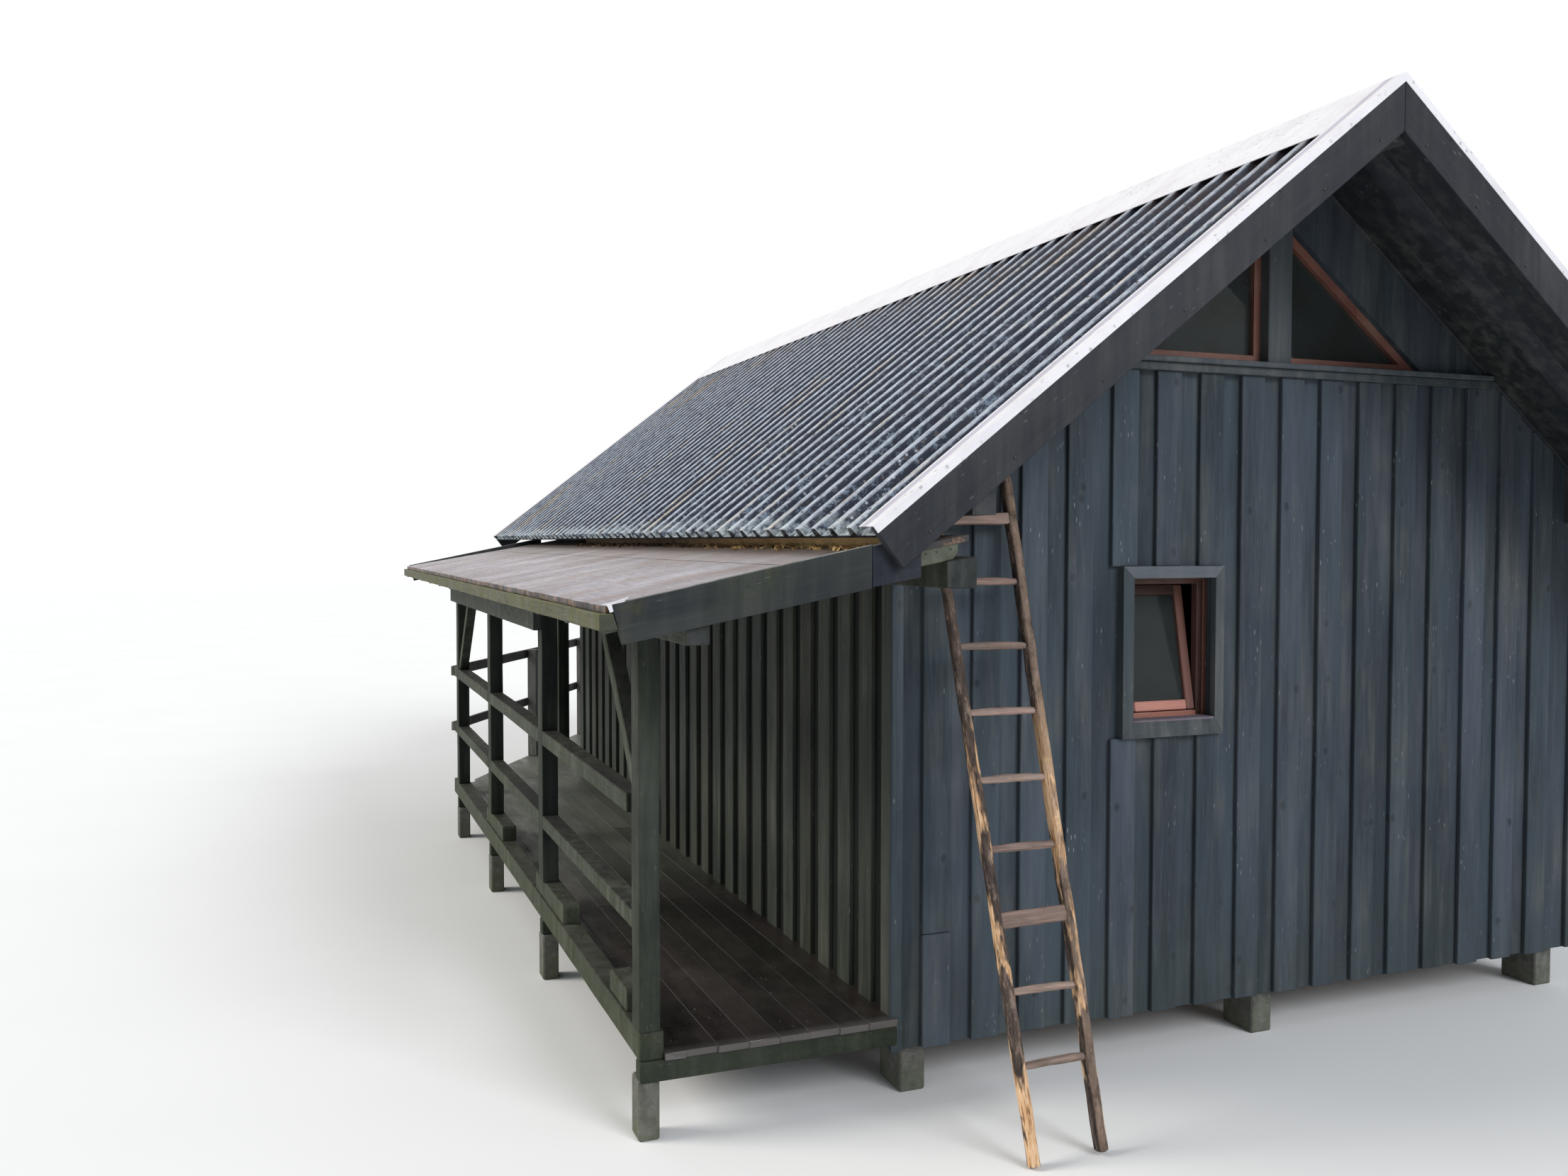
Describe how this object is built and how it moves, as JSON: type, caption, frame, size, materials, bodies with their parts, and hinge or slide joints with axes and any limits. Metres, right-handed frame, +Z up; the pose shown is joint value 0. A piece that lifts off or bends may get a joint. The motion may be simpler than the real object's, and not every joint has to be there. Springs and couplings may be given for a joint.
{
  "type": "tree house",
  "caption": "Timber tree house with board and batten style walls, a ribbed metal pitched roof, glazed gable, covered side deck and rear terrace with rails, and a leaning ladder.",
  "frame": {"origin": "centre of the whole outline at ground level, under the house", "axes": "+Z up, the glazed front gable with the ladder faces -Y, the covered deck is on the -X side"},
  "size_m": [5.591, 9.0722, 4.137],
  "materials": {
    "wall_boards": "matt",
    "trim_paint": "matt",
    "roof_timber": "matt",
    "roof_metal": "satin",
    "flashing": "satin",
    "red_frames": "satin",
    "glass": "gloss",
    "blocks": "matt",
    "floor_wood": "matt",
    "deck_wood": "matt",
    "rail_paint": "matt",
    "porch_covering": "matt",
    "mossy_wood": "matt",
    "ladder_wood": "matt"
  },
  "bodies": {
    "root": {"foundation_piers": "blocks", "floor_beams": "floor_wood", "floor": "floor_wood", "front_wall": "wall_boards", "back_wall": "wall_boards", "left_wall": "wall_boards", "right_wall": "wall_boards", "wall_plates": "roof_timber", "ridge_beam": "roof_timber", "roof_deck_left": "roof_timber", "roof_deck_right": "roof_timber", "roof_sheet_left": "roof_metal", "roof_sheet_right": "roof_metal", "ridge_cap": "flashing", "bargeboard_front_left": "trim_paint", "bargeboard_front_right": "trim_paint", "bargeboards_back": "trim_paint", "verge_flashing_front": "flashing", "verge_flashing_back": "flashing", "window_trim": "trim_paint", "window_frame": "red_frames", "window_sash": "red_frames", "window_glass": "glass", "gable_post": "trim_paint", "gable_frames": "red_frames", "gable_glass": "glass", "gable_sill": "trim_paint", "back_gable_post": "trim_paint", "back_gable_frames": "red_frames", "back_gable_glass": "glass", "back_gable_sill": "trim_paint", "porch_posts": "rail_paint", "porch_beam": "roof_timber", "porch_wall_beam": "roof_timber", "porch_rafters": "roof_timber", "porch_roof": "porch_covering", "porch_verge_boards": "trim_paint", "porch_fascia": "mossy_wood", "porch_braces": "rail_paint", "rail_top": "rail_paint", "rail_middle": "rail_paint", "deck_boards": "deck_wood", "deck_beams": "rail_paint", "deck_kerb": "rail_paint", "terrace_floor": "deck_wood", "terrace_beams": "rail_paint", "terrace_posts": "rail_paint", "terrace_rails": "rail_paint", "roof_posts": "rail_paint", "ladder_stiles": "ladder_wood", "ladder_rungs": "ladder_wood"}
  },
  "joints": []
}
